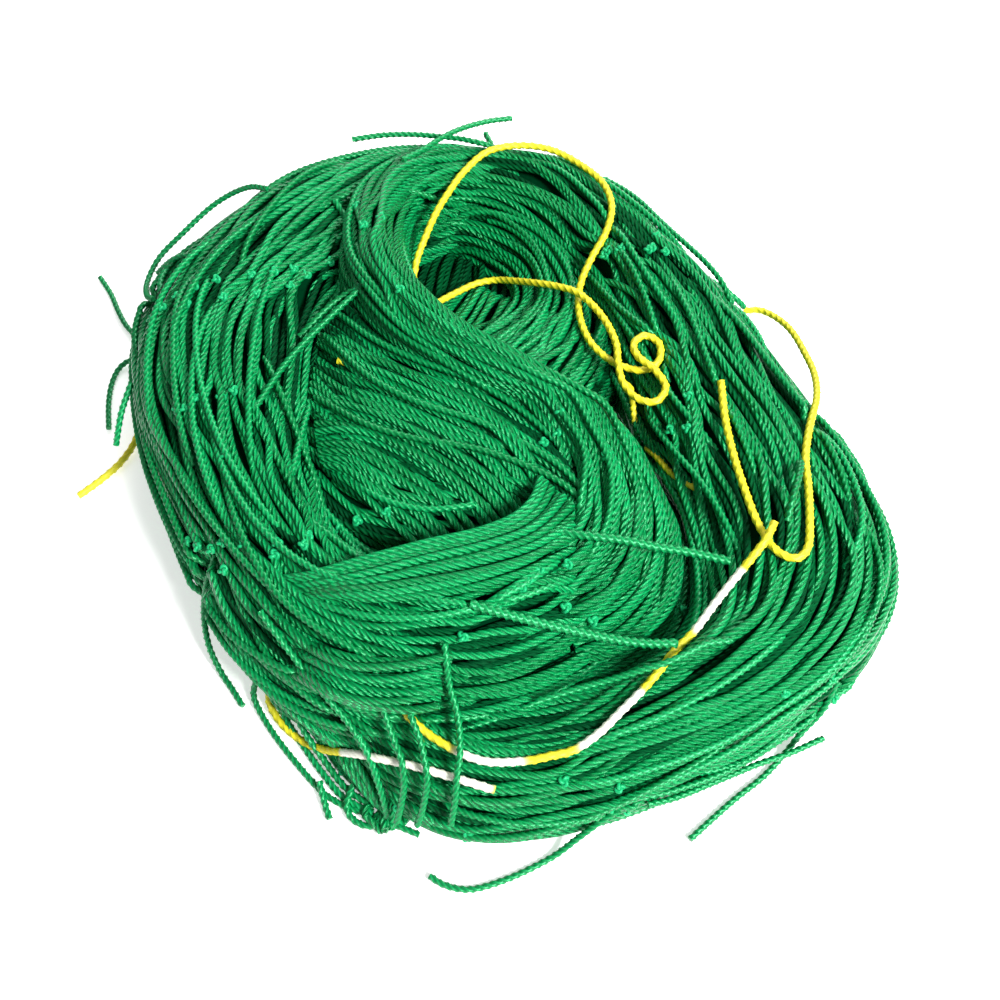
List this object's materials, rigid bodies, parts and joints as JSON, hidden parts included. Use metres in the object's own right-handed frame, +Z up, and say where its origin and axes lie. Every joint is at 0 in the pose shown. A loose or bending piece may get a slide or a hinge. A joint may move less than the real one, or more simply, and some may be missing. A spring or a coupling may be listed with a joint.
{
  "type": "folded trellis netting",
  "caption": "Large-mesh knotted plant trellis netting of green twisted twine, folded into a flat oval hank, with a thin yellow border cord and loose cut ends.",
  "frame": {"origin": "on the surface the hank lies on, in the middle of the hank's flat underside", "axes": "+Z up out of the surface, +Y from the low front edge of the hank to its back, +X to the right flank beside the slit"},
  "size_m": [0.2035, 0.1866, 0.0479],
  "materials": {
    "green_twine": "satin",
    "yellow_cord": "satin"
  },
  "bodies": {
    "root": {"net_hank": "green_twine", "border_cord_loop": "yellow_cord", "border_cord_right": "yellow_cord", "border_cord_front": "yellow_cord", "border_cord_front_low": "yellow_cord", "border_cord_left_tail": "yellow_cord", "twine_end_left_up": "green_twine", "twine_end_left_down": "green_twine", "twine_end_left_arc": "green_twine", "twine_end_back_left": "green_twine", "twine_end_back_right": "green_twine", "twine_end_right_edge": "green_twine", "twine_end_right_down": "green_twine", "twine_end_front_right_low": "green_twine", "twine_end_front_right_high": "green_twine", "twine_end_front_low": "green_twine", "twine_end_left_foot": "green_twine", "twine_end_left_front": "green_twine", "twine_end_over_slit": "green_twine", "twine_end_over_front": "green_twine", "twine_end_over_front_low": "green_twine", "twine_end_hanging_mid": "green_twine", "twine_end_hanging_second": "green_twine", "twine_end_hanging_left": "green_twine", "twine_end_hanging_far_left": "green_twine"}
  },
  "joints": []
}
